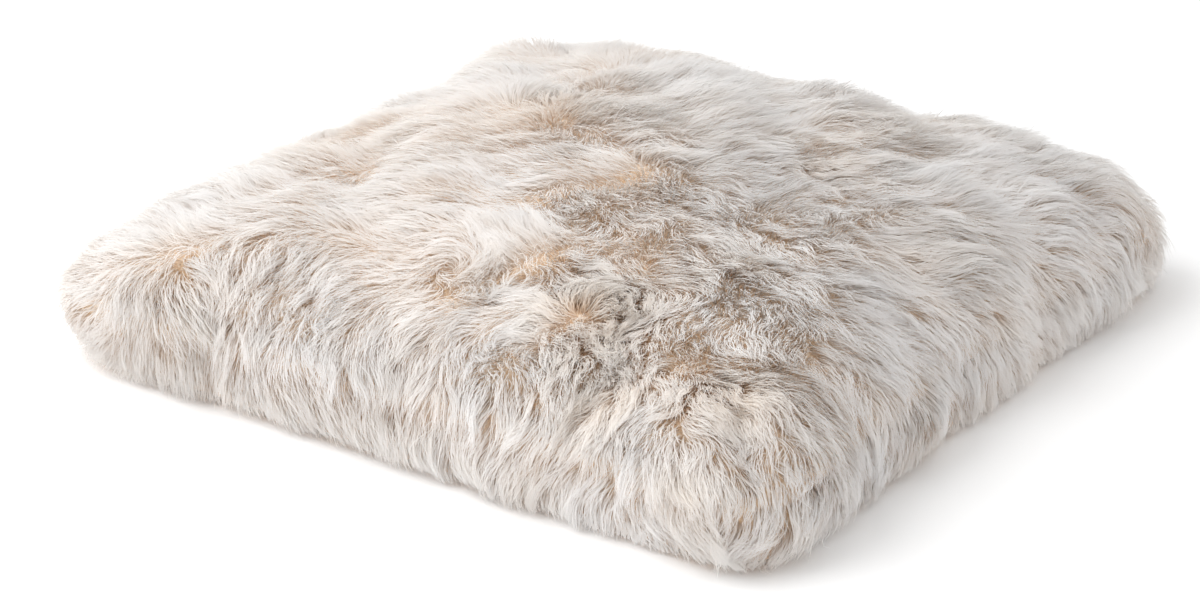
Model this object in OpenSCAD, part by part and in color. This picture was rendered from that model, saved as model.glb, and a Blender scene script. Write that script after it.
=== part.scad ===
// Square sheepskin floor cushion for a pet. Four joined pelts cover the crown and shoulders,
// four strips of the same skin make the sides, and a suede base with a zipped back edge closes
// it. A fibre-filled inner pad comes out through the zip.
// Millimetres, +Z up. The origin is the centre of the base, where it lies on the floor.
// The zip runs along the back (+Y) edge.

/* [Cushion] */
// Side of the square, over the wool
cushion_w = 900; // [700:10:1100]
// Height of the crown, over the wool
crown_h = 233; // [200:1:280]
// Height of the shoulders just inside the edges, over the wool
shoulder_h = 156; // [140:1:180]
// Height at which the sides stand out furthest
bulge_h = 63; // [55:1:75]
// How far the middle of each side is pulled in between the corners
side_pull = 14; // [0:1:20]
// Radius of the corners seen from above, over the wool
corner_r = 86; // [75:1:110]
// How far the foot of each side tucks in below the bulge
tuck = 8; // [4:1:12]

/* [Skin and wool] */
// Depth of the wool as it lies
wool_t = 35; // [25:1:42]
// Thickness of the tanned skin
skin_t = 2; // [1:0.5:3]
// Height of the wool's lowest tips above the floor
wool_low = 4; // [3:1:8]

/* [Base and hem] */
// Thickness of the suede base panel
base_t = 1.6; // [1:0.1:3]
// Height of the suede hem band that stands round the base
hem_h = 12; // [10:0.5:16]
// Thickness of the hem band
hem_t = 2; // [1.5:0.5:3]

/* [Zip] */
// Length of the row of teeth
zip_l = 658; // [400:1:680]
// Height of the middle of the zip above the floor
zip_z = 14; // [13:0.5:16]
// Height of the two tapes together
zip_tape_h = 19.4; // [18:0.1:20]
// Radius of each nylon coil
coil_r = 0.9; // [0.7:0.05:1.1]
// Length of the slider
slider_l = 14; // [10:0.5:18]
// Height of the slider
slider_h = 11; // [10:0.5:12]
// Length of the pull tab from its hinge
pull_l = 30; // [20:1:36]
// Width of the pull tab
pull_w = 7; // [6:0.5:8]

/* [Inner pad] */
// Room between the skin's outer face and the pad at the sides
pad_side_gap = 11; // [10:1:16]
// Room between the skin's outer face and the pad at the crown
pad_top_gap = 3; // [3:0.5:8]
// Thickness of the cotton casing
casing_t = 1; // [0.6:0.1:1.5]
// Room between the casing and the fill
fill_gap = 1.2; // [1:0.1:2]

/* [Hidden] */
$fn = 48;
// Free space left between layers and along seams
gap = 0.3;
half_w = cushion_w / 2;
arc_c = half_w - corner_r;
// Rings of points from the crown to the bulge, and from the bulge to the foot
top_rings = 12;
side_rows = 4;
pad_rings = 8;
pad_rows = 3;
// How closely the rings gather towards the edge, and how square the shoulders are
ring_gather = 1.8;
shoulder_power = 10;
shoulder_round = 2.2;

// Each layer is [side depth, top depth] below the outer surface of the wool
wool_face = [0, 0];
wool_back = [wool_t - gap, wool_t - gap];
skin_face = [wool_t, wool_t];
skin_back = [wool_t + skin_t, wool_t + skin_t];
pad_face = [wool_t + pad_side_gap, wool_t + pad_top_gap];
pad_lining = [pad_face[0] + casing_t, pad_face[1] + casing_t];
fill_face = [pad_lining[0] + fill_gap, pad_lining[1] + fill_gap];

// The foot of the skin, where the hem band and the base start
foot_half = half_w - wool_t - tuck;
base_half = foot_half - 3;
hem_half = foot_half - 1.5;
hem_low = base_t + gap;
pad_low = base_t + 2 * gap;

// The zip: its face, tapes, coils and stops
zip_y = foot_half - 1;
tape_t = 0.8;
tape_low = zip_z - zip_tape_h / 2;
tape_high = zip_z + zip_tape_h / 2;
tape_split = 0.55;
tape_l = zip_l + 22;
coil_y = zip_y + 0.05 + coil_r;
coil_z = tape_split + coil_r;
stop_l = 4;
back_skin_low = tape_high + gap;
back_wool_low = back_skin_low + 8;

// The slider, shut at the +X end, and its pull
slider_x = zip_l / 2 - slider_l / 2 - 2;
plate_t = 1.2;
plate_y = coil_y + coil_r + gap;
back_plate_t = 1;
flange_t = 1.2;
post_l = 3;
post_t = 0.5;
bridge_l = 9;
bridge_w = 2.8;
bridge_gap = 2.35;
pivot_y = plate_y + plate_t + bridge_gap / 2;
pull_t = 1.4;
pull_bar_r = 0.8;
pull_arm_w = 1.3;
pull_plate_from = 6.5;

// ---- surfaces of the cushion ----

// Distance of ring k from the crown, as a share of the half width
function ring_share(k, rings) = k >= rings ? 1 : 1 - pow(1 - k / rings, ring_gather);

// How much of the side's pull reaches a point s along it
function pull_share(s, arc) = 1 - pow(min(1, abs(s) / arc), 2);

// Point of a rounded square outline in the direction [p, q], where the larger of |p|, |q| is 1
function outline(p, q, half, arc, pull) =
    let (x = half * p, y = half * q, dx = abs(x) - arc, dy = abs(y) - arc)
    dx > 0 && dy > 0
        ? [sign(x) * (arc + (half - arc) * dx / norm([dx, dy])),
           sign(y) * (arc + (half - arc) * dy / norm([dx, dy]))]
        : [x - (abs(p) >= 1 ? sign(x) * pull * pull_share(y, arc) : 0),
           y - (abs(q) >= 1 ? sign(y) * pull * pull_share(x, arc) : 0)];

// Height of a layer's crowned top at u, v from -1 to 1
function top_height(layer, u, v) =
    let (crown = (1 - u * u) * (1 - v * v),
         full = shoulder_h - layer[1] + (crown_h - shoulder_h) * crown,
         round_off = (1 - pow(abs(u), shoulder_power)) * (1 - pow(abs(v), shoulder_power)))
    bulge_h + (full - bulge_h) * pow(round_off, 1 / shoulder_round);

// Point of a layer on its crown and shoulders, at grid place i, j
function top_point(layer, i, j, rings) =
    let (k = max(abs(i), abs(j)), s = ring_share(k, rings), half = half_w - layer[0])
    k == 0
        ? [0, 0, top_height(layer, 0, 0)]
        : let (p = i / k, q = j / k, xy = outline(p, q, half * s, arc_c * s, side_pull * s))
          [xy[0], xy[1], top_height(layer, p * s, q * s)];

// Point of a layer on its side at height z, in the direction [p, q]
function side_point(layer, p, q, z) =
    let (down = (bulge_h - z) / bulge_h,
         xy = outline(p, q, half_w - layer[0] - tuck * down * down, arc_c, side_pull * (1 - down)))
    [xy[0], xy[1], z];

// Point of a whole dome, whose outer rows run down the sides to height low
function dome_point(layer, i, j, rings, rows, low) =
    let (k = max(abs(i), abs(j)))
    k <= rings
        ? top_point(layer, i, j, rings)
        : side_point(layer, i / k, j / k, bulge_h - (bulge_h - low) * (k - rings) / rows);

// ---- solids from grids of points ----

// Two triangles for each cell of a grid with the given columns, numbered from start. In a dome,
// whose middle row and column is given, they meet along the lines that run to the corners
function cells(rows, cols, start, turned, middle = 0) = [
    for (r = [0:rows - 2], c = [0:cols - 2])
        let (a = start + r * cols + c, b = a + 1, d = a + cols, e = d + 1,
             ring = (r < middle) == (c < middle) ? [a, d, e, b] : [b, a, d, e],
             loop = turned ? [ring[0], ring[3], ring[2], ring[1]] : ring)
        for (t = [[loop[0], loop[1], loop[2]], [loop[0], loop[2], loop[3]]]) t
];

// Indices round the edge of a grid
function rim(rows, cols) = concat(
    [for (c = [0:cols - 2]) c],
    [for (r = [0:rows - 2]) r * cols + cols - 1],
    [for (c = [cols - 1:-1:1]) (rows - 1) * cols + c],
    [for (r = [rows - 1:-1:1]) r * cols]
);

// A sheet with thickness: two grids of points, face outside and back inside, with the middle
// row and column given where it is a whole dome
module sheet(face, back, middle = 0) {
    rows = len(face);
    cols = len(face[0]);
    edge = rim(rows, cols);
    n = len(edge);
    count = rows * cols;
    polyhedron(
        points = concat([for (r = face) for (p = r) p], [for (r = back) for (p = r) p]),
        faces = concat(
            cells(rows, cols, 0, false, middle),
            cells(rows, cols, count, true, middle),
            [for (k = [0:n - 1])
                let (a = edge[k], b = edge[(k + 1) % n])
                for (t = [[a, b, count + b], [a, count + b, count + a]]) t]));
}

// A quarter of the top between two layers, moved off the seams by half a gap
module top_quarter(face, back, side_x, side_y) {
    steps = [0:top_rings];
    flip_x = side_x < 0 ? 1 : 0;
    flip_y = side_y < 0 ? 1 : 0;
    mirror([flip_x, 0, 0]) mirror([0, flip_y, 0]) translate([gap / 2, gap / 2, 0])
        sheet([for (j = steps) [for (i = steps) top_point(face, i, j, top_rings)]],
              [for (j = steps) [for (i = steps) top_point(back, i, j, top_rings)]]);
}

// A side strip between two layers from height low up to the bulge, turned to its own side
module side_strip(face, back, low, turn) {
    high = bulge_h - gap;
    rotate([0, 0, turn]) translate([0, -2 * gap / 3, 0])
        sheet([for (r = [0:side_rows]) [for (i = [-top_rings:top_rings])
                side_point(face, i / top_rings, -1, low + (high - low) * r / side_rows)]],
              [for (r = [0:side_rows]) [for (i = [-top_rings:top_rings])
                side_point(back, i / top_rings, -1, low + (high - low) * r / side_rows)]]);
}

// A flat square with round corners
module rounded_square(half) {
    square([2 * half, 2 * arc_c], center = true);
    square([2 * arc_c, 2 * half], center = true);
    for (x = [-arc_c, arc_c], y = [-arc_c, arc_c])
        translate([x, y]) circle(r = half - arc_c);
}

// A block given by its lowest and highest corners
module block(low, high) {
    translate(low) cube(high - low);
}

// ---- pelts and wool of the top ----

module pelt(side_x, side_y) {
    color("tan") top_quarter(skin_face, skin_back, side_x, side_y);
}

module wool(side_x, side_y) {
    color("antiquewhite") top_quarter(wool_face, wool_back, side_x, side_y);
}

// ---- side strips and their wool ----

module side_skin(low, turn) {
    color("tan") side_strip(skin_face, skin_back, low, turn);
}

module side_wool(low, turn) {
    color("linen") side_strip(wool_face, wool_back, low, turn);
}

// ---- base and hem ----

module base_panel() {
    color("rosybrown") linear_extrude(base_t) rounded_square(base_half);
}

module hem_band() {
    color("tan") difference() {
        translate([0, 0, hem_low]) linear_extrude(hem_h - hem_low) difference() {
            rounded_square(hem_half);
            rounded_square(hem_half - hem_t);
        }
        block([-tape_l / 2 - gap, arc_c, tape_low - gap], [tape_l / 2 + gap, half_w, hem_h + 1]);
    }
}

// ---- zip ----

module zip_tape(low, high) {
    color("wheat") block([-tape_l / 2, zip_y - tape_t, low], [tape_l / 2, zip_y, high]);
}

module zip_coil(z) {
    color("burlywood") translate([-zip_l / 2, coil_y, z]) rotate([0, 90, 0])
        cylinder(r = coil_r, h = zip_l);
}

module zip_stop(x, low, high) {
    block([x, zip_y + 0.05, low], [x + stop_l, plate_y, high]);
}

module zip_top_stops() {
    color("darkkhaki") for (side = [-1, 1])
        zip_stop(zip_l / 2 + gap, zip_z + side * coil_z - coil_r, zip_z + side * coil_z + coil_r);
}

module zip_bottom_stop() {
    color("darkkhaki")
        zip_stop(-zip_l / 2 - stop_l - gap, zip_z - coil_z - coil_r, zip_z + coil_z + coil_r);
}

module zip_slider() {
    x0 = slider_x - slider_l / 2;
    x1 = slider_x + slider_l / 2;
    front_y = plate_y + plate_t;
    back_y = zip_y - tape_t - gap;
    color("peru") {
        // front plate with its two flanges, back plate, and the post that joins them
        block([x0, plate_y, zip_z - slider_h / 2], [x1, front_y, zip_z + slider_h / 2]);
        for (side = [-1, 1])
            translate([slider_x, (zip_y + gap + front_y) / 2, zip_z + side * (slider_h - flange_t) / 2])
                cube([slider_l, front_y - zip_y - gap, flange_t], center = true);
        block([x0 + 1, back_y - back_plate_t, zip_z - slider_h / 2 + 0.5],
              [x1 - 1, back_y, zip_z + slider_h / 2 - 0.5]);
        block([x1 - post_l - 1, back_y - back_plate_t, zip_z - post_t / 2],
              [x1 - 1, front_y, zip_z + post_t / 2]);
        // bridge that the pull hangs on
        difference() {
            block([slider_x - bridge_l / 2, front_y - 0.1, zip_z - bridge_w / 2],
                  [slider_x + bridge_l / 2, front_y + bridge_gap + plate_t, zip_z + bridge_w / 2]);
            block([slider_x - bridge_l / 2 + plate_t, front_y, zip_z - bridge_w],
                  [slider_x + bridge_l / 2 - plate_t, front_y + bridge_gap, zip_z + bridge_w]);
        }
    }
}

module zip_pull() {
    color("peru") translate([slider_x, pivot_y, zip_z]) difference() {
        union() {
            cylinder(r = pull_bar_r, h = pull_w - 0.4, center = true);
            for (side = [-1, 1])
                translate([-pull_plate_from / 2, 0, side * (pull_w - 0.4 - pull_arm_w) / 2])
                    cube([pull_plate_from + 0.2, pull_t, pull_arm_w], center = true);
            translate([-(pull_plate_from + pull_l) / 2, 0, 0])
                cube([pull_l - pull_plate_from, pull_t, pull_w], center = true);
        }
        // finger hole near the free end
        translate([-pull_l + 5, 0, 0]) rotate([90, 0, 0])
            cylinder(r = 1.6, h = 3 * pull_t, center = true);
    }
}

// ---- inner pad ----

module pad_casing_top() {
    n = pad_rings + pad_rows;
    low = pad_low + casing_t + gap;
    color("ivory")
        sheet([for (j = [-n:n]) [for (i = [-n:n]) dome_point(pad_face, i, j, pad_rings, pad_rows, low)]],
              [for (j = [-n:n]) [for (i = [-n:n]) dome_point(pad_lining, i, j, pad_rings, pad_rows, low)]],
              n);
}

module pad_casing_bottom() {
    color("ivory") translate([0, 0, pad_low]) linear_extrude(casing_t)
        rounded_square(half_w - pad_face[0] - tuck);
}

module pad_fill() {
    n = pad_rings + pad_rows;
    low = pad_low + casing_t + 2 * gap;
    cols = 2 * n + 1;
    color("white") polyhedron(
        points = [for (j = [-n:n], i = [-n:n]) dome_point(fill_face, i, j, pad_rings, pad_rows, low)],
        faces = concat(cells(cols, cols, 0, false, n), [rim(cols, cols)]));
}

pelt(-1, -1);  // pelt_front_left
pelt(1, -1);  // pelt_front_right
pelt(-1, 1);  // pelt_back_left
pelt(1, 1);  // pelt_back_right
wool(-1, -1);  // wool_front_left
wool(1, -1);  // wool_front_right
wool(-1, 1);  // wool_back_left
wool(1, 1);  // wool_back_right
side_skin(hem_h + gap, 0);  // side_skin_front
side_skin(hem_h + gap, 90);  // side_skin_right
side_skin(back_skin_low, 180);  // side_skin_back
side_skin(hem_h + gap, 270);  // side_skin_left
side_wool(wool_low, 0);  // side_wool_front
side_wool(wool_low, 90);  // side_wool_right
side_wool(back_wool_low, 180);  // side_wool_back
side_wool(wool_low, 270);  // side_wool_left
base_panel();
hem_band();
zip_tape(zip_z + tape_split, tape_high);  // zip_tape_upper
zip_tape(tape_low, zip_z - tape_split);  // zip_tape_lower
zip_coil(zip_z + coil_z);  // zip_coil_upper
zip_coil(zip_z - coil_z);  // zip_coil_lower
zip_top_stops();
zip_bottom_stop();
zip_slider();
zip_pull();
pad_casing_top();
pad_casing_bottom();
pad_fill();
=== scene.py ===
import bpy
import math
import numpy as np
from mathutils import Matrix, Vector, kdtree


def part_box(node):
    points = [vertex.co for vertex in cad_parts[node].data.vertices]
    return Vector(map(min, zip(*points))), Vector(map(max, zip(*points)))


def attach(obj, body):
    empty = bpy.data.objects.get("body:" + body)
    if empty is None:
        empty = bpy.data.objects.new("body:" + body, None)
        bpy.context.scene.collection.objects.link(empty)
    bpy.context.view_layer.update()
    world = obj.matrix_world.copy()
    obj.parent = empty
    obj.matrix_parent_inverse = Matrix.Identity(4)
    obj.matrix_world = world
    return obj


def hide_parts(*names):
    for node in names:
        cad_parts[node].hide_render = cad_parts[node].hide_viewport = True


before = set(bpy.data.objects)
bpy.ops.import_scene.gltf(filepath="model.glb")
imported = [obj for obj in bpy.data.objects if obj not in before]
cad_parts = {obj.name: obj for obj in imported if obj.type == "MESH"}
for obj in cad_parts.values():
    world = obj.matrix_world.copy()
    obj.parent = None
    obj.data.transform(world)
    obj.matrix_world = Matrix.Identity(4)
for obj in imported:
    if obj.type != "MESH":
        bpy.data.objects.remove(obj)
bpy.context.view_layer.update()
bpy.context.scene.view_settings.view_transform = "Standard"
bpy.context.scene.cycles.diffuse_bounces = 12
bpy.context.scene.cycles.transmission_bounces = 16
bpy.context.scene.cycles.max_bounces = 20

# the cushion as a whole; the wool's layers are measured in from the outer surface
cushion = {
    "half": 0.450,         # half the side, over the wool
    "arc": 0.364,          # where the round corners start
    "pull": 0.014,         # how far the side's middle is pulled in
    "tuck": 0.008,         # how far the foot tucks in
    "crown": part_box("wool_back_right")[1][2],
    "shoulder": 0.156,     # height just inside the edges
    "bulge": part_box("side_wool_front")[1][2] + 0.0003,
    "skinDepth": 0.0345,   # the skin's depth below the tips
    "feltDepth": 0.023,    # where the dense undercoat ends and the long wool shows
}


# x and y of a rounded square in the direction p, q
def outlinePoint(p, q, half, arc, pull):
    x, y = half * p, half * q
    dx, dy = np.abs(x) - arc, np.abs(y) - arc
    corner = (dx > 0) & (dy > 0)
    far = np.hypot(dx, dy) + 1e-12
    bendX = pull * (1 - np.minimum(1, np.abs(y) / np.maximum(arc, 1e-9)) ** 2)
    bendY = pull * (1 - np.minimum(1, np.abs(x) / np.maximum(arc, 1e-9)) ** 2)
    sideX = x - np.where(np.abs(p) > 0.9999, np.sign(x) * bendX, 0)
    sideY = y - np.where(np.abs(q) > 0.9999, np.sign(y) * bendY, 0)
    roundX = np.sign(x) * (arc + (half - arc) * dx / far)
    roundY = np.sign(y) * (arc + (half - arc) * dy / far)
    return np.where(corner, roundX, sideX), np.where(corner, roundY, sideY)


# places on a layer: u and v run to 1 at the bulge and to 2 at the floor
def domePoint(u, v, depth):
    c = cushion
    far = np.maximum(np.abs(u), np.abs(v))
    safe = np.maximum(far, 1e-9)
    p, q = u / safe, v / safe
    s = np.minimum(far, 1)
    down = np.clip(far - 1, 0, 1)
    half = (c["half"] - depth) * s - c["tuck"] * down ** 2
    x, y = outlinePoint(p, q, half, c["arc"] * s, c["pull"] * s * (1 - down))
    a, b = p * s, q * s
    full = c["shoulder"] - depth + (c["crown"] - c["shoulder"]) * (1 - a * a) * (1 - b * b)
    fade = np.maximum((1 - np.abs(a) ** 10) * (1 - np.abs(b) ** 10), 0)
    z = c["bulge"] + (full - c["bulge"]) * fade ** (1 / 2.2)
    z = np.where(far > 1, c["bulge"] * (1 - down), z)
    return np.stack([x, y, z], -1)


# a smooth random field from about -1 to 1, with lumps about scale wide
def rippleField(scale, seed, waves=14):
    rng = np.random.default_rng(seed)
    way = rng.standard_normal((waves, 3))
    way /= np.linalg.norm(way, axis=1, keepdims=True)
    way *= (math.pi / scale) * rng.uniform(0.6, 1.4, (waves, 1))
    start = rng.uniform(0, 2 * math.pi, waves)
    return lambda places: np.sin(places @ way.T + start).sum(-1) * (1.4 / math.sqrt(waves))


broadX, broadY = rippleField(0.20, 31), rippleField(0.20, 32)
middleX, middleY = rippleField(0.070, 33), rippleField(0.070, 34)
wavy, wavySlow = rippleField(0.014, 35), rippleField(0.036, 36)
lumpy, tufty = rippleField(0.085, 37), rippleField(0.034, 38)
leaning = rippleField(0.050, 39)
toning, speckle = rippleField(0.10, 40), rippleField(0.020, 41)


def unit(vectors):
    return vectors / np.maximum(np.linalg.norm(vectors, axis=-1, keepdims=True), 1e-9)


# patches where the wool parts and shows its crimped tan roots: x, y, z, radius, strength
openPatches = [
    (0.17, -0.33, 0.17, 0.060, 0.9),
    (0.24, -0.40, 0.14, 0.045, 0.6),
    (0.34, -0.36, 0.15, 0.045, 0.7),
    (0.34, -0.44, 0.09, 0.035, 0.5),
    (0.25, -0.18, 0.19, 0.018, 0.8),
    (0.20, 0.05, 0.21, 0.045, 0.4),
    (-0.15, -0.40, 0.14, 0.025, 0.5),
    (-0.20, -0.27, 0.19, 0.018, 0.6),
]

# soft swellings of the whole fleece: x, y, z, radius, height
swellings = [
    (-0.45, -0.45, 0.10, 0.08, 0.032),
    (-0.46, -0.12, 0.13, 0.14, 0.006),
    (-0.46, 0.22, 0.13, 0.16, 0.006),
    (0.44, -0.44, 0.05, 0.07, 0.008),
    (0.44, 0.44, 0.12, 0.07, 0.008),
]


# 0 where the wool lies closed, 1 in the middle of an open patch
def openness(places):
    total = np.zeros(places.shape[:-1])
    for x, y, z, radius, strength in openPatches:
        gap = np.linalg.norm(places - np.array([x, y, z]), axis=-1)
        total = np.maximum(total, strength * np.exp(-(gap / radius) ** 2))
    return total


# 1 on the smooth combed side, 0 where the wool is wavy
def silkiness(places):
    return 1 / (1 + np.exp((places[..., 0] + 0.02) / 0.07))


print("undercoat surface")
line = np.linspace(-2, 2, 481)
gridU, gridV = np.meshgrid(line, line, indexing="ij")


def outwardOf(place):
    out = np.cross(np.gradient(place, axis=0), np.gradient(place, axis=1))
    area = np.linalg.norm(out, axis=-1)
    return out / np.maximum(area[..., None], 1e-12), area


# the felted undercoat rises and falls in soft lumps, and is fuller low down and at the open patches
def feltPoint(u, v):
    place = domePoint(u, v, cushion["feltDepth"])
    inner = domePoint(u, v, cushion["skinDepth"])
    out = unit(place - inner + 1e-9)
    fade = np.clip(place[..., 2] / 0.05, 0.15, 1)
    rise = 0.0030 * lumpy(place) + 0.0020 * tufty(place) + 0.002 * openness(place)
    rise = rise + 0.005 * np.clip(1.5 - place[..., 2] / 0.10, 0, 1)
    for x, y, z, radius, height in swellings:
        gap = np.linalg.norm(place - np.array([x, y, z]), axis=-1)
        rise = rise + height * np.exp(-(gap / radius) ** 2)
    return place + out * (rise * fade)[..., None]


gridPlace = feltPoint(gridU, gridV)
gridOut, gridArea = outwardOf(gridPlace)
coarse = (slice(None, None, 4), slice(None, None, 4))    # every fourth place each way
coarsePlace = gridPlace[coarse].reshape(-1, 3)
coarseOut = gridOut[coarse].reshape(-1, 3)


def treeOf(places):
    tree = kdtree.KDTree(len(places))
    for index, point in enumerate(places):
        tree.insert(point, index)
    tree.balance()
    return tree


def nearest(tree, places):
    return np.array([tree.find(p)[1] for p in places])


feltTree = treeOf(coarsePlace)


# the outward direction of the undercoat nearest each place
def outwardAt(places):
    return coarseOut[nearest(feltTree, places)]


hanging = {
    "floor": 0.003,        # tips end just off the floor
    "zip": 0.024,          # and just above the zip along the back
    "zipFrom": 0.37,       # how far back the wool over the zip starts
    "zipHalf": 0.347,
}


# the lowest that wool may hang
def lowest(places):
    overZip = (places[..., 1] > hanging["zipFrom"]) & (np.abs(places[..., 0]) < hanging["zipHalf"])
    return np.where(overZip, hanging["zip"], hanging["floor"])


# count places spread evenly over the undercoat: grid cells drawn by area, then jittered
def scatterRoots(count, rng):
    share = gridArea[:-1, :-1].ravel()
    share = np.where(np.isfinite(share), share, 0)
    ladder = np.cumsum(share)
    draw = (np.arange(count) + rng.random(count)) / count * ladder[-1]
    cell = np.searchsorted(ladder, draw)
    row, col = cell // (gridArea.shape[1] - 1), cell % (gridArea.shape[1] - 1)
    fu, fv = rng.random(count)[:, None], rng.random(count)[:, None]

    def mix(field):
        near = field[row, col] * (1 - fu) + field[row + 1, col] * fu
        past = field[row, col + 1] * (1 - fu) + field[row + 1, col + 1] * fu
        return near * (1 - fv) + past * fv

    place, out = mix(gridPlace), unit(mix(gridOut))
    uv = mix(np.stack([gridU, gridV], -1))
    keep = place[:, 2] > lowest(place) + 0.008
    return place[keep], out[keep], uv[keep]


# the way the wool runs at each place, before it is laid along the surface
def flowAt(places):
    run = np.zeros_like(places)
    run[:, 0] = (places[:, 0] + 0.05) / 0.30 + 0.75 * broadX(places) + 0.55 * middleX(places)
    run[:, 1] = places[:, 1] / 0.30 + 0.75 * broadY(places) + 0.55 * middleY(places)
    run[:, 2] = -1.5
    for x, y, z, radius, strength in openPatches:
        gap = places - np.array([x, y, z])
        near = np.exp(-(np.linalg.norm(gap, axis=1) / radius) ** 2)[:, None]
        run += unit(gap) * near * strength
    return run


# how long the wool is at each place
def woolLength(places, share, rng):
    length = share * (1 + 0.08 * lumpy(places) + 0.12 * tufty(places) - 0.12 * openness(places))
    length *= 1 + 0.12 * rng.standard_normal(len(places)).clip(-2, 2)
    room = places[:, 2] - lowest(places)
    return np.minimum(length, np.maximum(room * 1.1 + 0.006, 0.008))


# the line that each strand takes: it rises from the undercoat, then leans over along the flow
def comb(root, out, steps, length, lean, stray, upright):
    opened, silky = openness(root), silkiness(root)
    onSide = np.clip((cushion["bulge"] + 0.02 - root[:, 2]) / 0.06, 0, 1)
    startLean = np.radians(lean[0] + 14 * onSide - 4 * opened) + upright * 0.5
    endLean = np.radians(lean[1] + 9 * leaning(root) - 8 * opened + 4 * onSide) + upright
    swing = np.radians(17 - 9 * silky + 5 * opened)
    run = flowAt(root)
    ahead = unit(run - np.sum(run * out, axis=1, keepdims=True) * out)
    far = outwardAt(root + ahead * (length * 0.7)[:, None])
    at = root.copy()
    line, outs = [at], [out]
    for k in range(steps):
        t = (k + 0.5) / steps
        here = unit(out * (1 - t) + far * t)
        run = flowAt(at)
        ahead = unit(run - np.sum(run * here, axis=1, keepdims=True) * here)
        across = np.cross(here, ahead)
        bend = startLean + (endLean - startLean) * t ** 0.6
        turn = stray + swing * (0.6 * wavy(at) + 0.6 * wavySlow(at)) * min(1, 0.3 + t)
        along = ahead * np.cos(turn)[:, None] + across * np.sin(turn)[:, None]
        at = at + (here * np.cos(bend)[:, None] + along * np.sin(bend)[:, None]) * (length / steps)[:, None]
        line.append(at)
        outs.append(here)
    return np.array(line), np.array(outs)


# places at least spacing apart
def spacedRoots(spacing, rng):
    place, out, uv = scatterRoots(int(1.25 / spacing ** 2 * 4), rng)
    taken, keep = {}, []
    for i in rng.permutation(len(place)):
        cell = tuple((place[i] // spacing).astype(int))
        around = [taken.get((cell[0] + a, cell[1] + b, cell[2] + c), ())
                  for a in (-1, 0, 1) for b in (-1, 0, 1) for c in (-1, 0, 1)]
        if all(np.sum((place[j] - place[i]) ** 2) >= spacing ** 2 for near in around for j in near):
            taken.setdefault(cell, []).append(i)
            keep.append(i)
    keep = np.array(sorted(keep))
    return place[keep], out[keep]


# draws lines together towards the guide line of the lock each belongs to
def drawTogether(line, root, lock, guide, guideRoot, amount, share):
    steps, guideSteps = len(line) - 1, len(guide) - 1
    apart = root - guideRoot[lock]
    for k in range(steps + 1):
        t = k / steps
        along = min(t * share, 1) * guideSteps
        low = min(int(along), guideSteps - 1)
        mid = guide[low, lock] * (1 - along + low) + guide[low + 1, lock] * (along - low)
        pull = amount * t * t * (3 - 2 * t)
        line[k] = line[k] * (1 - pull) + (mid + apart * 0.2) * pull
    return line


print("locks")
fleece = {
    "plush": 0.240,        # tips on the crown are pressed down above this height
    "length": 0.044,
    "bigLock": 0.018,      # spacing of the big locks
    "smallLock": 0.0085,   # spacing of the small locks they split into
    "steps": 6,            # points along a lock's guide line
    "lean": (22, 82),      # degrees off upright at the root and at the tip
    "gather": 0.45,        # how far a small lock is drawn to its big one
    "seed": 7,
}
rng = np.random.default_rng(fleece["seed"])
bigRoot, bigOut = spacedRoots(fleece["bigLock"], rng)
bigTree = treeOf(bigRoot)
bigStray = np.radians(11) * rng.standard_normal(len(bigRoot)).clip(-2, 2)
bigLength = woolLength(bigRoot, fleece["length"], rng)
bigLine = comb(bigRoot, bigOut, fleece["steps"], bigLength, fleece["lean"], bigStray, 0)[0]
lockRoot, lockOut = spacedRoots(fleece["smallLock"], rng)
lockTree = treeOf(lockRoot)
lockBig = nearest(bigTree, lockRoot)
lockCurl = rng.random(len(lockRoot)) * 2 * math.pi
lockStray = bigStray[lockBig] + np.radians(8) * rng.standard_normal(len(lockRoot)).clip(-2, 2)
lockLength = woolLength(lockRoot, fleece["length"], rng)
lockLine = comb(lockRoot, lockOut, fleece["steps"], lockLength, fleece["lean"], lockStray, 0)[0]
lockLine = drawTogether(lockLine, lockRoot, lockBig, bigLine, bigRoot, fleece["gather"], 1)
print("locks:", len(bigRoot), len(lockRoot))


# how strongly the wool is crimped: most in the open patches, some right of the middle
def crimping(places):
    right = np.exp(-((places[..., 0] - 0.22) / 0.16) ** 2 - ((places[..., 1] + 0.12) / 0.22) ** 2)
    return np.clip(openness(places) + 0.35 * right * (0.6 + 0.6 * tufty(places)), 0, 1)


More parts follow.
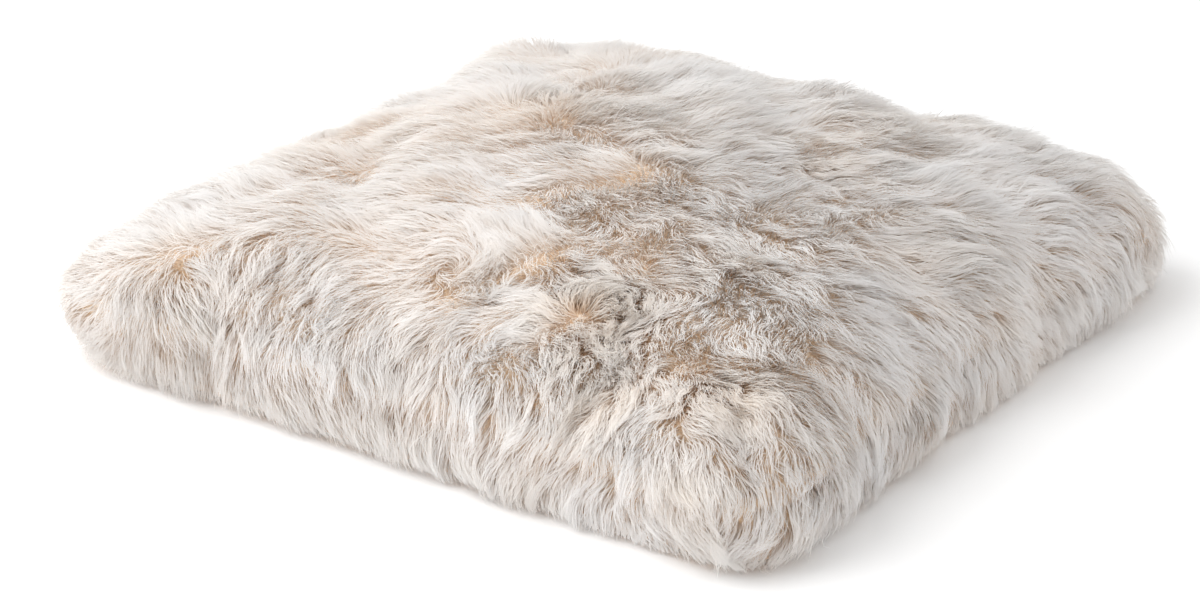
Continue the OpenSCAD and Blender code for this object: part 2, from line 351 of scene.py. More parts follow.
# the ribbons of a layer of strands: places, half widths, normals and tones
def growStrands(layer):
    rng = np.random.default_rng(layer["seed"])
    root, out, uv = scatterRoots(layer["count"], rng)
    if layer["where"] == "open":
        keep = openness(root) > 0.12 + 0.25 * rng.random(len(root))
        root, out, uv = root[keep], out[keep], uv[keep]
    elif layer["where"] == "closed":
        keep = openness(root) < 0.15 + 0.9 * rng.random(len(root))
        root, out, uv = root[keep], out[keep], uv[keep]
    count, steps = len(root), layer["steps"]
    lock = nearest(lockTree, root)
    opened, silky, crimp = openness(root), silkiness(root), crimping(root)
    length = woolLength(root, fleece["length"] * layer["share"], rng)
    stray = lockStray[lock] + np.radians(layer["stray"]) * rng.standard_normal(count).clip(-2.5, 2.5)
    loose = rng.random(count) < layer["loose"]
    stray = np.where(loose, stray * 2.2, stray)
    upright = np.where(loose, -np.radians(14) * rng.random(count), 0)
    line, outs = comb(root, out, steps, length, layer["lean"], stray, upright)
    hold = layer["gather"] * (0.7 + 0.6 * rng.random(count)) * (1 - 0.55 * silky)
    hold = np.where(loose, 0.15, hold)[:, None]
    line = drawTogether(line, root, lock, lockLine, lockRoot, hold, layer["share"])
    curl = lockCurl[lock] + 0.7 * rng.standard_normal(count)
    turns = layer["turns"] * (0.85 + 0.3 * rng.random(count))
    size = 0.0004 + 0.0004 * rng.random(count) + layer["crimp"] * crimp
    for k in range(steps + 1):
        t = k / steps
        sway = np.cross(outs[k], unit(line[k] - root + out * 1e-4))
        line[k] += sway * (np.sin(2 * math.pi * turns * t + curl) * size * min(1, 2.5 * t))[:, None]
    line[..., 2] = np.maximum(line[..., 2], lowest(line))
    line[..., 2] -= 0.55 * np.maximum(line[..., 2] - fleece["plush"], 0)
    ahead = unit(np.gradient(line, axis=0))
    flat = unit(np.cross(ahead, outs))
    lift = np.cross(flat, ahead)
    roll = rng.uniform(-layer["roll"], layer["roll"], count)
    side = flat * np.cos(roll)[None, :, None] + lift * np.sin(roll)[None, :, None]
    ts = np.arange(steps + 1) / steps
    wide = layer["width"] * (1 + 0.25 * rng.standard_normal(count).clip(-2, 2))
    taper = 1 - 0.8 * ts ** 2.2
    half = side * (wide[None, :] * taper[:, None] / 2)[..., None]
    normal = unit(outs * layer["smooth"] + lift * (1 - layer["smooth"]))
    # warm leans to the warmer ramp, most in the open patches where the wool's own tan roots show; that ramp's
    # darker root end is partly painted shade of the crevices
    warm = 0.06 + 0.08 * toning(root) + 0.16 * silky + 0.05 * speckle(root) + 0.85 * opened
    return uv, line, half, normal, np.clip(warm, 0, 1), rng.random(count)


# one mesh of flat tapered strips; every array is [point along the strand, strand, xyz]
def ribbonPiece(name, line, half, normal, warm, chance):
    rings, count = line.shape[:2]
    body = np.stack([line[:-1] - half[:-1], line[:-1] + half[:-1]], 1).transpose(2, 0, 1, 3)
    verts = np.concatenate([body.reshape(count, -1, 3), line[-1][:, None, :]], 1)
    each = verts.shape[1]
    start = (np.arange(count) * each)[:, None]
    quads = np.array([[2 * k, 2 * k + 1, 2 * k + 3, 2 * k + 2] for k in range(rings - 2)])
    quads = (start[:, None] + quads[None]).reshape(-1, 4)
    tips = start + np.array([each - 3, each - 2, each - 1])
    loops = np.concatenate([quads.ravel(), tips.ravel()])
    sizes = np.concatenate([np.full(len(quads), 4), np.full(len(tips), 3)])
    mesh = bpy.data.meshes.new(name)
    mesh.vertices.add(count * each)
    mesh.loops.add(len(loops))
    mesh.polygons.add(len(sizes))
    mesh.vertices.foreach_set("co", verts.astype(np.float32).ravel())
    mesh.loops.foreach_set("vertex_index", loops.astype(np.int32))
    mesh.polygons.foreach_set("loop_start", (np.cumsum(sizes) - sizes).astype(np.int32))
    mesh.polygons.foreach_set("loop_total", sizes.astype(np.int32))
    mesh.polygons.foreach_set("use_smooth", np.ones(len(sizes), bool))
    mesh.update(calc_edges=True)
    along = np.append(np.repeat(np.arange(rings - 1) / (rings - 1), 2), 1.0)
    tone = np.ones((count, each, 4), np.float32)
    tone[..., 0], tone[..., 1], tone[..., 2] = along[None], warm[:, None], chance[:, None]
    mesh.color_attributes.new("woolTone", "FLOAT_COLOR", "POINT").data.foreach_set("color", tone.ravel())
    soft = np.concatenate([np.repeat(normal[:-1].transpose(1, 0, 2), 2, axis=1), normal[-1][:, None]], 1)
    mesh.attributes.new("custom_normal", "FLOAT_VECTOR", "POINT").data.foreach_set(
        "vector", soft.astype(np.float32).ravel())
    # each strand has its own small cell of the texture
    cells = math.ceil(math.sqrt(count))
    across = np.append(np.tile([0.25, 0.75], rings - 1), 0.5)
    spot = np.stack([np.broadcast_to(across, (count, each)),
                     np.broadcast_to(0.12 + 0.76 * along, (count, each))], -1)
    corner = np.stack([np.arange(count) % cells, np.arange(count) // cells], -1)
    spot = ((corner[:, None] + spot) / cells).reshape(-1, 2)
    mesh.uv_layers.new(name="OFBake").data.foreach_set("uv", spot[loops].astype(np.float32).ravel())
    piece = bpy.data.objects.new(name, mesh)
    bpy.context.collection.objects.link(piece)
    return piece


# an sRGB hex colour as linear numbers
def linear(hexColour):
    parts = [int(hexColour[i:i + 2], 16) / 255 for i in (1, 3, 5)]
    return tuple(p / 12.92 if p <= 0.04045 else ((p + 0.055) / 1.055) ** 2.4 for p in parts) + (1,)


def addNode(tree, kind, settings=None, links=None):
    node = tree.nodes.new(kind)
    for key, value in (settings or {}).items():
        if key in node.inputs:
            node.inputs[key].default_value = value
        else:
            setattr(node, key, value)
    for key, source in (links or {}).items():
        tree.links.new(source, node.inputs[key])
    return node


# a colour ramp through the given places and hex colours
def addRamp(tree, fac, stops):
    ramp = addNode(tree, "ShaderNodeValToRGB", {}, {"Fac": fac})
    parts = ramp.color_ramp.elements
    while len(parts) < len(stops):
        parts.new(0.5)
    for part, (place, colour) in zip(parts, stops):
        part.position = place
        part.color = linear(colour)
    return ramp.outputs["Color"]


# long wool: ivory and glossy at the tips, darker and warmer towards the roots (partly the wool's own tan
# roots, partly painted shade of the crevices between strands), light passes into it
def woolMaterial():
    mat = bpy.data.materials.new("combedSheepWool")
    mat.use_nodes = True
    tree = mat.node_tree
    shader = tree.nodes["Principled BSDF"]
    shader.inputs["Roughness"].default_value = 0.6
    shader.inputs["Specular IOR Level"].default_value = 0.25
    tone = addNode(tree, "ShaderNodeAttribute", {"attribute_name": "woolTone"})
    split = addNode(tree, "ShaderNodeSeparateColor", {}, {"Color": tone.outputs["Color"]})
    # the darker root stops of both ramps are partly painted shade of the crevices between the strands
    paleStopsShadedRoots = [(0, "#DFCFBE"), (0.25, "#F3EEE9"), (0.5, "#F9F8F7"), (1, "#FCFCFC")]
    warmStopsShadedRoots = [(0, "#D6B18A"), (0.25, "#EDD8C0"), (0.55, "#F7EEE3"), (1, "#FCF8F3")]
    pale = addRamp(tree, split.outputs[0], paleStopsShadedRoots)
    warm = addRamp(tree, split.outputs[0], warmStopsShadedRoots)
    mix = addNode(tree, "ShaderNodeMix", {"data_type": "RGBA"})
    tree.links.new(split.outputs[1], mix.inputs["Factor"])
    tree.links.new(pale, mix.inputs[6])
    tree.links.new(warm, mix.inputs[7])
    tree.links.new(mix.outputs[2], shader.inputs["Base Color"])
    glow = addNode(tree, "ShaderNodeBsdfTranslucent", {}, {"Color": mix.outputs[2]})
    both = addNode(tree, "ShaderNodeMixShader", {"Fac": 0.45})
    tree.links.new(shader.outputs[0], both.inputs[1])
    tree.links.new(glow.outputs[0], both.inputs[2])
    tree.links.new(both.outputs[0], tree.nodes["Material Output"].inputs["Surface"])
    return mat


woolFinish = woolMaterial()


# which wool node each root belongs to: a quarter of the top, or a side
def regionOf(uv):
    names = np.where(uv[:, 1] < 0, "Front", "Back").astype(object)
    names = names + np.where(uv[:, 0] < 0, "Left", "Right").astype(object)
    sideX = np.where(uv[:, 0] < 0, "Left", "Right").astype(object)
    sideY = np.where(uv[:, 1] < 0, "Front", "Back").astype(object)
    side = np.where(np.abs(uv[:, 0]) > np.abs(uv[:, 1]), sideX, sideY)
    return np.where(np.abs(uv).max(1) > 1, "Side" + side, names)


print("strands")
# lean and stray are in degrees, width in metres, share is of the fleece's length
layers = {
    "Under": {"count": 75000, "steps": 3, "width": 0.0011, "gather": 0.25, "share": 0.68, "where": "all",
              "lean": (12, 66), "stray": 16, "loose": 0.05, "roll": 0.5, "smooth": 0.95,
              "turns": 1.0, "crimp": 0.0010, "seed": 101},
    "Over": {"count": 64000, "steps": 5, "width": 0.0009, "gather": 0.40, "share": 0.95, "where": "closed",
             "lean": (22, 80), "stray": 8, "loose": 0.06, "roll": 0.5, "smooth": 0.95,
             "turns": 1.5, "crimp": 0.0012, "seed": 102},
    "Guard": {"count": 62000, "steps": 5, "width": 0.0007, "gather": 0.33, "share": 1.08, "where": "closed",
              "lean": (26, 86), "stray": 6, "loose": 0.03, "roll": 0.5, "smooth": 1.0,
              "turns": 1.3, "crimp": 0.0010, "seed": 103},
    "Crimp": {"count": 300000, "steps": 10, "width": 0.0008, "gather": 0.45, "share": 0.80, "where": "open",
              "lean": (28, 80), "stray": 10, "loose": 0.05, "roll": 0.5, "smooth": 0.9,
              "turns": 2.6, "crimp": 0.0020, "seed": 104},
}
for layerName, layer in layers.items():
    uv, line, half, normal, warm, chance = growStrands(layer)
    region = regionOf(uv)
    for name in sorted(set(region)):
        mine = region == name
        piece = ribbonPiece("wool" + name + layerName, line[:, mine], half[:, mine], normal[:, mine],
                            warm[mine], chance[mine])
        piece.data.materials.append(woolFinish)
        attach(piece, "cushion")
        print(piece.name, mine.sum() * (2 * layer["steps"] - 1))


# dense matted undercoat, tan where the long wool opens
def feltMaterial():
    mat, tree, shader, coords = newMaterial("mattedUndercoat", 0.95, 0.1)
    grain = addNode(tree, "ShaderNodeTexNoise", {"Scale": 260.0, "Detail": 3.0}, {"Vector": coords})
    tree.links.new(addRamp(tree, grain.outputs[0], [(0.3, "#E3C29C"), (0.7, "#F2E3D1")]),
                   shader.inputs["Base Color"])
    addBump(tree, shader, grain.outputs[0], 0.6, 0.0008)
    return mat


# tanned skin: broad mottling from the hide, and a short nap that scatters light
def suedeMaterial(name, dark, pale):
    mat, tree, shader, coords = newMaterial(name, 0.9, 0.15)
    shader.inputs["Sheen Weight"].default_value = 0.35
    hide = addNode(tree, "ShaderNodeTexNoise", {"Scale": 14.0, "Detail": 4.0}, {"Vector": coords})
    nap = addNode(tree, "ShaderNodeTexNoise", {"Scale": 900.0, "Detail": 2.0}, {"Vector": coords})
    mix = addNode(tree, "ShaderNodeMath", {"operation": "MULTIPLY_ADD"}, {"Value": nap.outputs[0]})
    mix.inputs[1].default_value = 0.35
    tree.links.new(hide.outputs[0], mix.inputs[2])
    tree.links.new(addRamp(tree, mix.outputs[0], [(0.45, dark), (0.85, pale)]), shader.inputs["Base Color"])
    addBump(tree, shader, nap.outputs[0], 0.5, 0.0003)
    return mat


# woven tape or cotton: threads across and along, pitch in metres
def wovenMaterial(name, dark, pale, pitch):
    mat, tree, shader, coords = newMaterial(name, 0.85, 0.2)
    scale = 2 * math.pi / (20 * pitch)
    waves = []
    for way in ("X", "DIAGONAL"):
        wave = addNode(tree, "ShaderNodeTexWave", {"bands_direction": way, "Scale": scale, "Distortion": 0.4},
                       {"Vector": coords})
        waves.append(wave.outputs[1])
    weave = addNode(tree, "ShaderNodeMath", {"operation": "MULTIPLY"})
    tree.links.new(waves[0], weave.inputs[0])
    tree.links.new(waves[1], weave.inputs[1])
    tree.links.new(addRamp(tree, weave.outputs[0], [(0.0, dark), (0.8, pale)]), shader.inputs["Base Color"])
    addBump(tree, shader, weave.outputs[0], 0.5, pitch * 0.3)
    return mat


# nylon or thread: smooth, with slight unevenness in the dye
def threadMaterial(name, dark, pale, rough):
    mat, tree, shader, coords = newMaterial(name, rough, 0.4)
    dye = addNode(tree, "ShaderNodeTexNoise", {"Scale": 120.0, "Detail": 2.0}, {"Vector": coords})
    tree.links.new(addRamp(tree, dye.outputs[0], [(0.3, dark), (0.7, pale)]), shader.inputs["Base Color"])
    return mat


# plated zinc: warm metal with fine handling marks
def metalMaterial():
    mat, tree, shader, coords = newMaterial("agedBrassPlate", 0.3, 0.5)
    shader.inputs["Metallic"].default_value = 1.0
    marks = addNode(tree, "ShaderNodeTexNoise", {"Scale": 700.0, "Detail": 6.0}, {"Vector": coords})
    tone = addRamp(tree, marks.outputs[0], [(0.3, "#B3A07D"), (0.7, "#CBB993")])
    tree.links.new(tone, shader.inputs["Base Color"])
    rough = addNode(tree, "ShaderNodeMapRange", {}, {"Value": marks.outputs[0]})
    rough.inputs["To Min"].default_value = 0.2
    rough.inputs["To Max"].default_value = 0.45
    tree.links.new(rough.outputs[0], shader.inputs["Roughness"])
    return mat


def newMaterial(name, rough, specular):
    mat = bpy.data.materials.new(name)
    mat.use_nodes = True
    tree = mat.node_tree
    shader = tree.nodes["Principled BSDF"]
    shader.inputs["Roughness"].default_value = rough
    shader.inputs["Specular IOR Level"].default_value = specular
    coords = addNode(tree, "ShaderNodeTexCoord").outputs["Object"]
    return mat, tree, shader, coords


def addBump(tree, shader, height, strength, distance):
    bump = addNode(tree, "ShaderNodeBump", {"Strength": strength, "Distance": distance}, {"Height": height})
    tree.links.new(bump.outputs[0], shader.inputs["Normal"])


feltFinish = feltMaterial()
skinFinish = suedeMaterial("tannedSheepskin", "#C5A886", "#DCC6A8")
baseFinish = suedeMaterial("baseSuede", "#77675A", "#978574")
hemFinish = suedeMaterial("hemSuede", "#7C6A5B", "#9C8775")
tapeFinish = wovenMaterial("zipTapeTwill", "#A8957C", "#D3C4AC", 0.0008)
cottonFinish = wovenMaterial("casingCotton", "#CFC7B8", "#EEE8DC", 0.0011)
coilFinish = threadMaterial("nylonCoil", "#B9A78D", "#D2C3AA", 0.35)
stitchFinish = threadMaterial("waxedThread", "#BDAA90", "#D6C6AE", 0.6)
fibreFinish = threadMaterial("hollowFibre", "#E9E8E4", "#F7F6F2", 0.9)
brassFinish = metalMaterial()


# links a new mesh into the scene as a piece that rides on a body
def addPiece(name, mesh, finish, body="cushion"):
    piece = bpy.data.objects.new(name, mesh)
    bpy.context.collection.objects.link(piece)
    piece.data.materials.clear()
    piece.data.materials.append(finish)
    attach(piece, body)
    return piece


def activate(piece):
    bpy.ops.object.select_all(action="DESELECT")
    bpy.context.view_layer.objects.active = piece
    piece.select_set(True)


# makes every face point outwards and shades smooth below the angle
def settle(piece, angle=50, merge=0.0):
    activate(piece)
    bpy.ops.object.mode_set(mode="EDIT")
    bpy.ops.mesh.select_all(action="SELECT")
    if merge:
        bpy.ops.mesh.remove_doubles(threshold=merge)
    bpy.ops.mesh.normals_make_consistent(inside=False)
    bpy.ops.object.mode_set(mode="OBJECT")
    bpy.ops.object.shade_smooth_by_angle(angle=math.radians(angle))


# a closed mesh between two grids of places
def closedMesh(name, face, back):
    rows, cols = face.shape[:2]
    count = rows * cols
    index = np.arange(count).reshape(rows, cols)
    quads = np.stack([index[:-1, :-1], index[1:, :-1], index[1:, 1:], index[:-1, 1:]], -1).reshape(-1, 4)
    rim = np.concatenate([index[0, :-1], index[:-1, -1], index[-1, :0:-1], index[:0:-1, 0]])
    following = np.roll(rim, -1)
    walls = np.stack([rim, following, following + count, rim + count], -1)
    faces = np.concatenate([quads, quads[:, ::-1] + count, walls]).tolist()
    mesh = bpy.data.meshes.new(name)
    mesh.from_pydata(np.concatenate([face.reshape(-1, 3), back.reshape(-1, 3)]).tolist(), [], faces)
    return mesh


def slab(name, face, back, finish):
    piece = addPiece(name, closedMesh(name, face, back), finish)
    settle(piece)
    return piece


# grids of u and v over a quarter of the top, closer together towards the bulge
def quarterGrid(sideX, sideY, steps):
    quarter = 0.0008 + 0.9992 * (1 - np.linspace(1, 0, steps) ** 1.8)
    return np.meshgrid(quarter * sideX, quarter * sideY, indexing="ij")


# and over a side down to a height, which is another above the zip at the back
def sideGrid(turn, low, lowAtZip, steps, rows):
    p, t = np.meshgrid(np.linspace(-0.999, 0.999, steps), np.linspace(0, 1, rows), indexing="ij")
    lowEdge = np.where((turn == 2) & (np.abs(p) < skin["zipShare"]), lowAtZip, low)
    far = 1.0005 + t * (0.9995 - lowEdge / cushion["bulge"])
    u, v = p * far, -far
    for k in range(turn):
        u, v = -v, u
    return u, v


print("undercoat and skins")
skin = {
    "depth": 0.0353,       # the skin's outer face
    "thick": 0.0014,
    "half": 0.4142,        # half the width of the pelts together
    "feltLow": 0.0055,     # where the undercoat ends above the floor
    "feltAtZip": 0.0335,   # and above the zip
    "zipShare": 0.835,     # the part of the back's half that the zip takes
    "peltFlat": (0.442, 0.442),
    "sideFlat": (0.84, 0.050),
    "backFlat": (0.84, 0.039),
}


def skinPiece(name, u, v, node):
    face = domePoint(u, v, skin["depth"])
    back = domePoint(u, v, skin["depth"] + skin["thick"])
    piece = slab(name, face, back, skinFinish)
    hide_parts(node)


for sideX, nameX in ((-1, "left"), (1, "right")):
    for sideY, nameY in ((-1, "front"), (1, "back")):
        u, v = quarterGrid(sideX, sideY, 40)
        quarter = nameY.title() + nameX.title()
        back = domePoint(u, v, cushion["skinDepth"])
        felt = slab("felt" + quarter, feltPoint(u, v), back, feltFinish)
        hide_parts(f"wool_{nameY}_{nameX}")
        skinPiece("pelt" + quarter, u, v, f"pelt_{nameY}_{nameX}")
for name, turn in (("front", 0), ("right", 1), ("back", 2), ("left", 3)):
    u, v = sideGrid(turn, skin["feltLow"], skin["feltAtZip"], 81, 8)
    back = domePoint(u, v, cushion["skinDepth"])
    felt = slab("feltSide" + name.title(), feltPoint(u, v), back, feltFinish)
    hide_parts("side_wool_" + name)
    u, v = sideGrid(turn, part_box("side_skin_front")[0][2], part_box("side_skin_back")[0][2], 81, 8)
    skinPiece("skinSide" + name.title(), u, v, "side_skin_" + name)

print("base and hem")
base = {
    "half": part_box("base_panel")[1][0],
    "thick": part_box("base_panel")[1][2],
    "stitch": 0.0045,      # length of one stitch
}
hem = {
    "half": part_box("hem_band")[1][0],
    "low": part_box("hem_band")[0][2],
    "high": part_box("hem_band")[1][2],
    "thick": 0.002,
    "zipHalf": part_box("zip_tape_lower")[1][0] + 0.0003,
    "zipLow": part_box("zip_tape_lower")[0][2] - 0.0003,
}


# points every few millimetres round a rounded square, with the outward direction
def roundTrack(half, pitch):
    arc = cushion["arc"]
    radius = half - arc
    points, outs = [], []
    for k in range(4):
        turned = k * math.pi / 2
        for t in np.arange(-arc, arc, pitch):
            points.append((t, -half, turned))
            outs.append(-math.pi / 2)
        for a in np.arange(0, math.pi / 2, max(pitch / radius, 0.05)):
            points.append((arc + radius * math.sin(a), -arc - radius * math.cos(a), turned))
            outs.append(-math.pi / 2 + a)
    track = []
    for (x, y, turned), way in zip(points, outs):
        c, s = math.cos(turned), math.sin(turned)
        track.append(((c * x - s * y, s * x + c * y), (math.cos(way + turned), math.sin(way + turned))))
    return track


# base panel: a rounded square of suede, a little puckered along the stitched edge
bpy.ops.mesh.primitive_grid_add(x_subdivisions=90, y_subdivisions=90, size=2)
panel = bpy.context.object
panelMesh = panel.data.copy()
bpy.data.objects.remove(panel)
for vertex in panelMesh.vertices:
    u, v = vertex.co.x, vertex.co.y
    far = max(abs(u), abs(v), 1e-9)
    x, y = outlinePoint(np.array(u / far), np.array(v / far), base["half"] - 0.0004, cushion["arc"], 0.0)
    pucker = 0.0002 * math.sin(220 * (x + y)) * max(0, (far - 0.9) / 0.1)
    vertex.co = (float(x) * far, float(y) * far, base["thick"] * 0.87 + pucker)
basePiece = addPiece("basePanel", panelMesh, baseFinish)
activate(basePiece)
bpy.ops.object.modifier_add(type="SOLIDIFY")
basePiece.modifiers[0].thickness = base["thick"] * 0.7
basePiece.modifiers[0].offset = -1
bpy.ops.object.modifier_apply(modifier=basePiece.modifiers[0].name)
settle(basePiece, 40)
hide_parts("base_panel")

# hem band: a folded strip, a little fuller at its middle, cut away where the zip sits
track = roundTrack(hem["half"], 0.006)
profile = [(0.0, 0.0), (0.0004, 0.25), (0.0005, 0.5), (0.0004, 0.75), (0.0, 1.0),
           (-hem["thick"] + 0.0003, 1.0), (-hem["thick"] + 0.0003, 0.0)]
verts, faces = [], []
for n, ((x, y), (dx, dy)) in enumerate(track):
    overZip = y > cushion["arc"] and abs(x) < hem["zipHalf"] + 0.004
    top = (hem["zipLow"] if overZip else hem["high"]) - 0.0002
    ripple = 0.0003 * math.sin(n * 0.9)
    for outwards, share in profile:
        reach = outwards - 0.0006 + ripple * (0.3 < share < 0.8)
        z = hem["low"] + 0.0002 + (top - hem["low"] - 0.0002) * share
        verts.append((x + dx * reach, y + dy * reach, z))
ring = len(profile)
for n in range(len(track)):
    for k in range(ring):
        a, b = n * ring + k, n * ring + (k + 1) % ring
        c, d = (a + ring) % len(verts), (b + ring) % len(verts)
        faces.append((a, b, d, c))
mesh = bpy.data.meshes.new("hemBand")
mesh.from_pydata(verts, [], faces)
hemPiece = addPiece("hemBand", mesh, hemFinish)
settle(hemPiece, 50)
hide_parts("hem_band")


# one mesh of short rounded stitches along a track, left out where heightAt gives None
def stitchRow(name, track, heightAt, length, radius):
    verts, faces = [], []
    for (x, y), (dx, dy) in track:
        tx, ty = -dy, dx
        z = heightAt(x, y)
        if z is None:
            continue
        start = len(verts)
        for along, swell in ((-0.5, 0.35), (-0.3, 1), (0.3, 1), (0.5, 0.35)):
            for k in range(5):
                a = 2 * math.pi * k / 5
                out, up = math.cos(a) * radius * swell, math.sin(a) * radius * swell
                verts.append((x + dx * out + tx * along * length, y + dy * out + ty * along * length, z + up))
        for r in range(3):
            for k in range(5):
                a, b = start + r * 5 + k, start + r * 5 + (k + 1) % 5
                faces.append((a, b, b + 5, a + 5))
        faces.append(tuple(start + k for k in range(4, -1, -1)))
        faces.append(tuple(start + 15 + k for k in range(5)))
    mesh = bpy.data.meshes.new(name)
    mesh.from_pydata(verts, [], faces)
    row = addPiece(name, mesh, stitchFinish)
    settle(row, 80)
    return row


# the pelts' seams run across the crown each way, sewn through
def peltHeight(x, y):
    half = skin["half"]
    return float(domePoint(np.array(x / half), np.array(y / half), skin["depth"])[2])


for acrossX in (True, False):
    walk = [w for w in np.arange(-0.33, 0.33, 0.0065) if abs(w) > 0.004]
    seam = [((w, 0.0), (0.0, 1.0)) if acrossX else ((0.0, w), (1.0, 0.0)) for w in walk]
    name = "peltSeamAcross" if acrossX else "peltSeamAlong"
    stitchRow(name, seam, peltHeight, base["stitch"], 0.0004)


def hemStitchHeight(x, y):
    overZip = y > cushion["arc"] and abs(x) < hem["zipHalf"] + 0.006
    return None if overZip else hem["high"] - 0.003


hemSeam = roundTrack(hem["half"], 0.0062)
stitchRow("hemStitches", hemSeam, hemStitchHeight, base["stitch"], 0.00045)

print("zip")
zipParts = {
    "tooth": 0.0015,       # pitch of the coil
    "wire": 0.00022,       # radius of the nylon
    "sides": 5,
    "turnSteps": 10,
}


# nylon coil: one long helix lying inside the room its CAD coil takes
def coilPiece(name, node):
    low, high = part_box(node)
    radius = (high[2] - low[2]) / 2 - zipParts["wire"] - 0.00002
    midY, midZ = (low[1] + high[1]) / 2, (low[2] + high[2]) / 2
    turns = int((high[0] - low[0] - 0.001) / zipParts["tooth"])
    t = np.arange(turns * zipParts["turnSteps"] + 1) / zipParts["turnSteps"]
    x = low[0] + 0.0005 + t * zipParts["tooth"]
    a = 2 * math.pi * t
    centre = np.stack([x, midY + radius * np.cos(a), midZ + radius * np.sin(a)], -1)
    ahead = unit(np.gradient(centre, axis=0))
    out = np.stack([np.zeros_like(a), np.cos(a), np.sin(a)], -1)
    side = np.cross(ahead, out)
    ring = 2 * math.pi * np.arange(zipParts["sides"]) / zipParts["sides"]
    verts = centre[:, None] + zipParts["wire"] * (
        out[:, None] * np.cos(ring)[None, :, None] + side[:, None] * np.sin(ring)[None, :, None])
    n, m = verts.shape[:2]
    index = np.arange(n * m).reshape(n, m)
    following = np.roll(index, -1, axis=1)
    quads = np.stack([index[:-1], following[:-1], following[1:], index[1:]], -1).reshape(-1, 4).tolist()
    quads += [tuple(range(m - 1, -1, -1)), tuple(range((n - 1) * m, n * m))]
    mesh = bpy.data.meshes.new(name)
    mesh.from_pydata(verts.reshape(-1, 3).tolist(), [], quads)
    piece = addPiece(name, mesh, coilFinish)
    settle(piece, 80)
    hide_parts(node)


coilPiece("zipCoilUpper", "zip_coil_upper")
coilPiece("zipCoilLower", "zip_coil_lower")


# a CAD part with its sharp edges eased
def easedCopy(name, node, body, width):
    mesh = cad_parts[node].data.copy()
    piece = addPiece(name, mesh, brassFinish, body)
    activate(piece)
    bpy.ops.object.mode_set(mode="EDIT")
    bpy.ops.mesh.select_all(action="SELECT")
    bpy.ops.mesh.remove_doubles(threshold=0.00001)
    bpy.ops.mesh.dissolve_limited(angle_limit=math.radians(1))
    bpy.ops.object.mode_set(mode="OBJECT")
    bpy.ops.object.modifier_add(type="BEVEL")
    bevel = piece.modifiers[0]
    bevel.width = width
    bevel.segments = 2
    bevel.limit_method = "ANGLE"
    bevel.angle_limit = math.radians(40)
    bpy.ops.object.modifier_apply(modifier=bevel.name)
    bpy.ops.object.shade_smooth_by_angle(angle=math.radians(35))
    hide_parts(node)


easedCopy("zipSlider", "zip_slider", "zip_slider", 0.0003)
easedCopy("zipPull", "zip_pull", "zip_pull", 0.0003)
easedCopy("zipTopStops", "zip_top_stops", "cushion", 0.0002)
easedCopy("zipBottomStop", "zip_bottom_stop", "cushion", 0.0002)


# woven tape on its edge, drawn in a little at every few stitches, and the seam that holds it
def tapePiece(name, node, seamShare):
    low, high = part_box(node)
    x, z = np.meshgrid(np.linspace(low[0], high[0], 260), np.linspace(low[2], high[2], 6), indexing="ij")
    face = np.stack([x, high[1] - 0.00015 + 0.00012 * np.sin(x * 190) * np.cos(x * 47), z], -1)
    tape = slab(name, face, face - np.array([0.0, 0.0005, 0.0]), tapeFinish)
    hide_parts(node)
    seam = [((at, high[1]), (0.0, 1.0)) for at in np.arange(low[0] + 0.004, high[0] - 0.004, 0.0042)]
    seamHeight = low[2] + seamShare * (high[2] - low[2])
    stitchRow(name + "Seam", seam, lambda x, y: seamHeight, 0.003, 0.0003)


tapePiece("zipTapeUpper", "zip_tape_upper", 0.8)
tapePiece("zipTapeLower", "zip_tape_lower", 0.2)

print("inner pad")
pad = {
    "sideIn": 0.047,       # the casing's depth below the wool at the sides, before it swells
    "topIn": 0.0405,       # and below the crown
    "low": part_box("pad_casing_bottom")[0][2] + 0.0008,
    "pressure": 3.0,       # inside the casing while it swells
    "swell": 0.0028,       # the most that the casing may swell
    "frames": 16,
    "fillIn": 0.011,       # the fibre's depth inside the casing
}


# a closed pillow form on the pad's outline
def padForm(name, inwards, low, steps):
    c = cushion
    line = np.linspace(-1, 1, steps)
    u, v = np.meshgrid(line, line, indexing="ij")
    shape = domePoint(u * 1.93, v * 1.93, pad["topIn"] + inwards)
    shape[..., :2] *= (c["half"] - pad["sideIn"] - inwards) / (c["half"] - pad["topIn"] - inwards)
    top = shape.copy()
    top[..., 2] = np.maximum(top[..., 2], low)
    under = shape.copy()
    under[..., 2] = low
    return closedMesh(name, top, under)


casing = addPiece("padCasing", padForm("padCasing", 0.0, pad["low"], 61), cottonFinish)
settle(casing, 60, 0.0002)
start = [v.co.copy() for v in casing.data.vertices]
bpy.ops.object.modifier_add(type="CLOTH")
cloth = casing.modifiers[0]
cloth.settings.use_pressure = True
cloth.settings.uniform_pressure_force = pad["pressure"]
cloth.settings.effector_weights.gravity = 0
cloth.settings.quality = 4
for step in range(1, pad["frames"] + 1):
    bpy.context.scene.frame_set(step)
bpy.ops.object.modifier_apply(modifier=cloth.name)
bpy.context.scene.frame_set(1)
for vertex, was in zip(casing.data.vertices, start):
    move = vertex.co - was
    if move.length > pad["swell"]:
        move *= pad["swell"] / move.length
    vertex.co = was + move
    vertex.co.z = max(vertex.co.z, pad["low"] - 0.0004)
activate(casing)
bpy.ops.object.modifier_add(type="SUBSURF")
casing.modifiers[0].levels = casing.modifiers[0].render_levels = 1
bpy.ops.object.modifier_apply(modifier=casing.modifiers[0].name)
bpy.ops.object.shade_smooth()
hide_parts("pad_casing_top", "pad_casing_bottom")
edge = max(v.co.x for v in casing.data.vertices if v.co.z < pad["low"] + 0.006) - 0.0004
padSeam = roundTrack(edge, 0.007)
stitchRow("padSeam", padSeam, lambda x, y: pad["low"] + 0.004, base["stitch"], 0.0005)

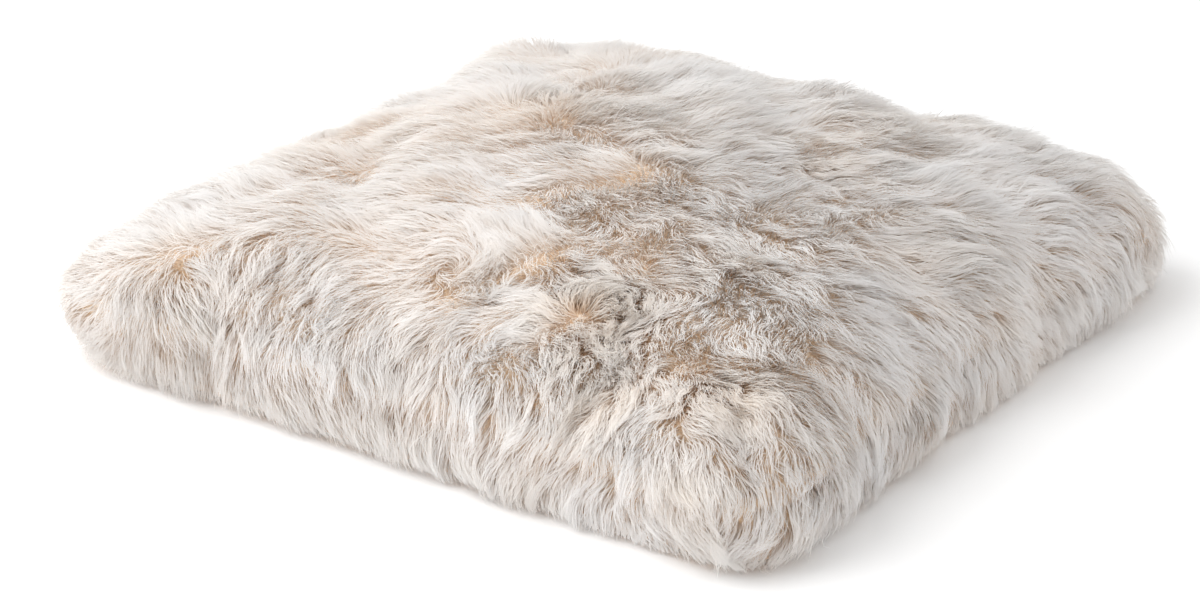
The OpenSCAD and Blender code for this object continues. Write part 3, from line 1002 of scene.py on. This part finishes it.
fillMesh = padForm("padFill", pad["fillIn"], pad["low"] + 0.004, 81)
fill = addPiece("padFill", fillMesh, fibreFinish)
for vertex in fill.data.vertices:
    at = np.array([vertex.co[:]])
    lump = 0.0012 * float(tufty(at)[0]) + 0.0006 * float(speckle(at)[0])
    vertex.co.z = max(vertex.co.z + lump * (vertex.co.z > 0.05), pad["low"] + 0.0038)
settle(fill, 60, 0.0002)
bpy.ops.object.shade_smooth()
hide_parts("pad_fill")

# the studio: camera, paper floor, white surroundings and one soft lamp
view = {
    "turn": 34.3,          # degrees round from the front
    "rise": 22.5,
    "distance": 3.126,
    "centre": (0.0, 0.0, 0.08),
    "aim": (-0.0307, -0.0210, 0.0114),
    "lens": 86.85,
}
turn, rise = math.radians(view["turn"]), math.radians(view["rise"])
eye = Vector(view["centre"]) + view["distance"] * Vector(
    (math.sin(turn) * math.cos(rise), -math.cos(turn) * math.cos(rise), math.sin(rise)))
camera = bpy.data.objects.new("camera", bpy.data.cameras.new("camera"))
bpy.context.collection.objects.link(camera)
camera.data.lens = view["lens"]
camera.location = eye
camera.rotation_euler = (Vector(view["aim"]) - eye).to_track_quat("-Z", "Y").to_euler()
bpy.context.scene.camera = camera

bpy.ops.mesh.primitive_plane_add(size=40, location=(0, 0, 0))
floor = bpy.context.object
floor.name = "floor"
paper = bpy.data.materials.new("studioPaper")
paper.use_nodes = True
paper.node_tree.nodes["Principled BSDF"].inputs["Base Color"].default_value = (0.92, 0.92, 0.92, 1)
paper.node_tree.nodes["Principled BSDF"].inputs["Roughness"].default_value = 0.9
floor.data.materials.append(paper)

world = bpy.data.worlds.new("studio")
bpy.context.scene.world = world
world.use_nodes = True
world.node_tree.nodes["Background"].inputs["Color"].default_value = (1, 1, 1, 1)
world.node_tree.nodes["Background"].inputs["Strength"].default_value = 0.95


def addLamp(name, place, size, power):
    lamp = bpy.data.objects.new(name, bpy.data.lights.new(name, "AREA"))
    bpy.context.collection.objects.link(lamp)
    lamp.data.shape = "DISK"
    lamp.data.size = size
    lamp.data.energy = power
    lamp.location = place
    lamp.rotation_euler = (Vector((0, 0, 0.1)) - Vector(place)).to_track_quat("-Z", "Y").to_euler()
    return lamp


addLamp("keyLamp", (-2.9, -2.9, 4.3), 6.0, 250)
